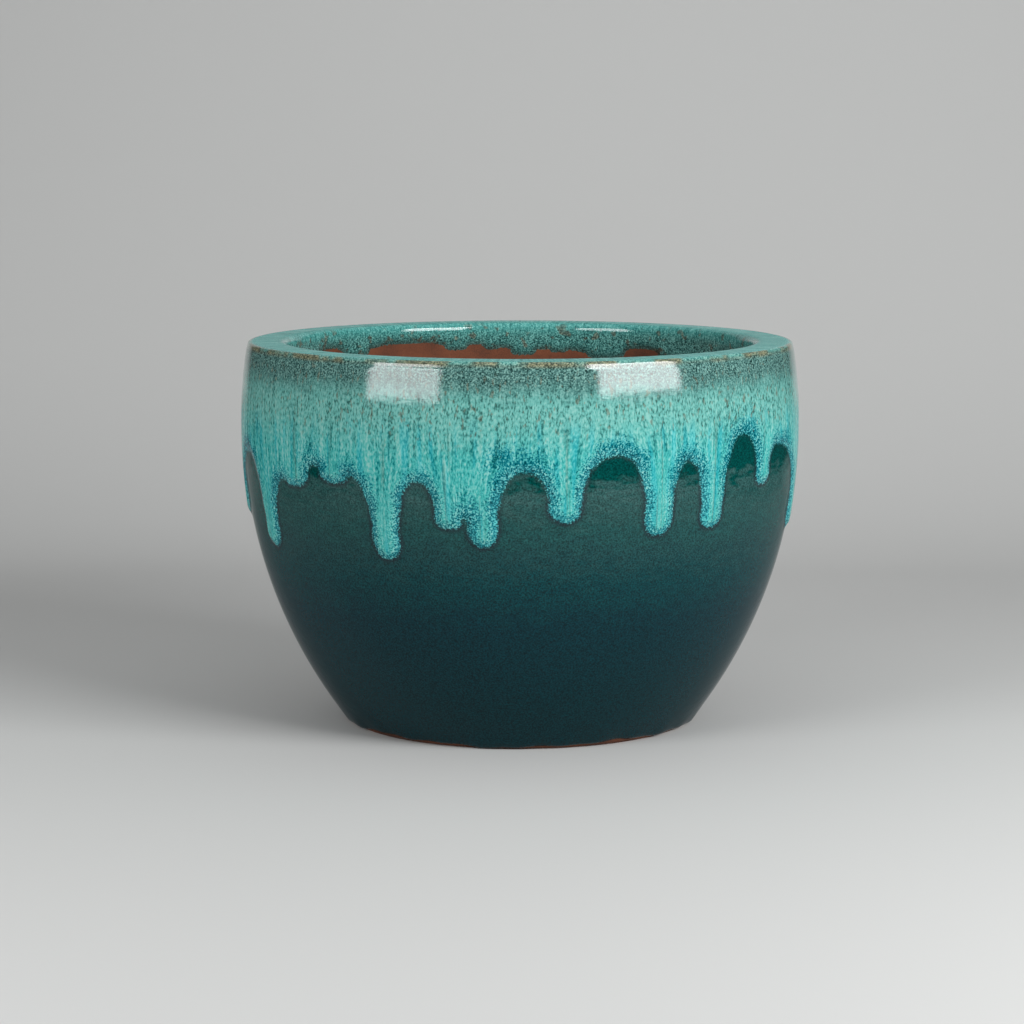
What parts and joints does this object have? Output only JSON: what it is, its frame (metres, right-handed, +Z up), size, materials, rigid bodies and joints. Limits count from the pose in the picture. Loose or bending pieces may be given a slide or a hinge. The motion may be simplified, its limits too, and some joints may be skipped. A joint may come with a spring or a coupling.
{
  "type": "ceramic planter",
  "caption": "Round-bellied ceramic planter with a thick rim, a dark glazed wall, a poured turquoise glaze that runs down from the rim, and a plugged drain hole.",
  "frame": {"origin": "on the floor, under the middle of the foot", "axes": "+Z up, -Y out of the side that the picture shows, +X to the right as seen there"},
  "size_m": [0.3, 0.3, 0.205],
  "materials": {
    "fired_clay": "unglazed terracotta, matt",
    "dark_glaze": "dark teal glaze, gloss",
    "turquoise_glaze": "speckled turquoise glaze with runs, gloss",
    "plug_rubber": "moulded black rubber, matt"
  },
  "bodies": {
    "pot": {"clay_pot": "fired_clay", "dark_glaze": "dark_glaze", "run_glaze": "turquoise_glaze"},
    "plug": {"drain_plug": "plug_rubber"}
  },
  "joints": [
    {"name": "plug_pull", "type": "slide", "parent": "pot", "child": "plug", "axis": [0, 0, 1], "range_m": [0, 0.22]}
  ]
}
